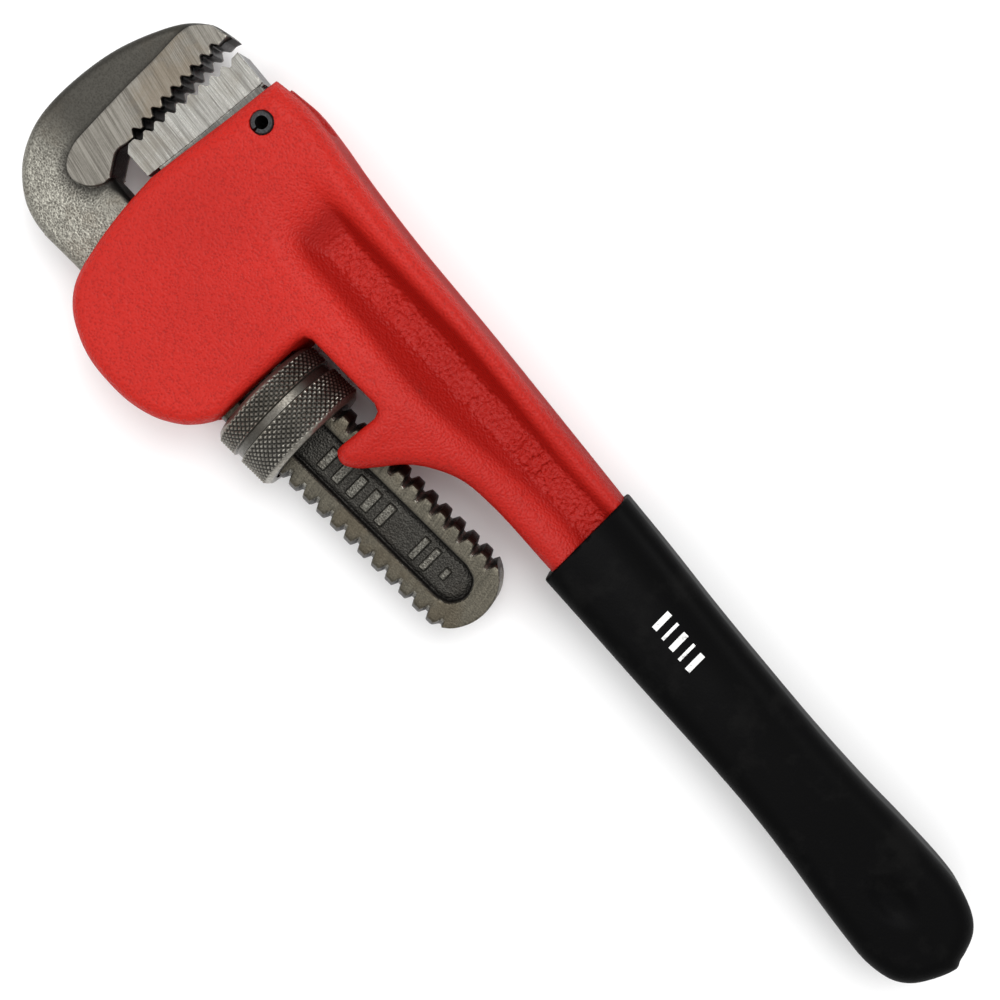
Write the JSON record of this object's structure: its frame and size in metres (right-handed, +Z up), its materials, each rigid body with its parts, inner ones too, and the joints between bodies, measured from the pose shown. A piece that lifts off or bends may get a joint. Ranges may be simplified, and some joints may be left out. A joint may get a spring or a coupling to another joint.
{
  "type": "pipe wrench",
  "caption": "Heavy adjustable pipe wrench with a toothed hook jaw on a threaded shank, a knurled adjusting nut, a pinned heel jaw, a cast I-beam handle and a moulded grip.",
  "frame": {"origin": "under the middle of the wrench, on the flat side it lies on", "axes": "+X along the jaw's screw towards the end of the grip, +Y from the screw towards the open mouth, +Z up, across the wrench"},
  "size_m": [0.2996, 0.0808, 0.0328],
  "materials": {
    "red_casting": "red enamel over cast iron, fine orange peel",
    "black_grip": "matte black moulded elastomer",
    "ground_steel": "ground bare steel",
    "black_steel": "black oxide",
    "forged_steel": "sand-blasted forging with ground faces",
    "nut_steel": "knurled dark steel",
    "spring_steel": "oil-tempered spring steel"
  },
  "bodies": {
    "wrench": {"handle": "red_casting", "handle_grip": "black_grip", "heel_jaw": "ground_steel", "heel_jaw_pin": "black_steel", "coil_spring": "spring_steel"},
    "rocker": {"flat_spring": "spring_steel", "spring_rivet": "spring_steel"},
    "jaw": {"hook_jaw": "forged_steel"},
    "nut": {"adjusting_nut": "nut_steel"}
  },
  "joints": [
    {"name": "jaw_rock", "type": "hinge", "parent": "wrench", "child": "rocker", "pos_m": [-0.06735, -0.0038, 0.0164], "axis": [0, 0, 1], "range_deg": [0, 3], "stiffness_Nm_per_rad": 10, "springref_deg": -2.86, "deforming": ["coil_spring"]},
    {"name": "jaw_slide", "type": "slide", "parent": "rocker", "child": "jaw", "axis": [-1, 0, 0], "range_m": [0, 0.05]},
    {"name": "nut_spin", "type": "hinge", "parent": "rocker", "child": "nut", "pos_m": [-0.0576, -0.01755, 0.0164], "axis": [1, 0, 0], "range_deg": [0, 3885]}
  ],
  "couplings": [
    {"joint": "nut_spin", "follows": "jaw_slide", "rad_per_m": 1354.1}
  ]
}
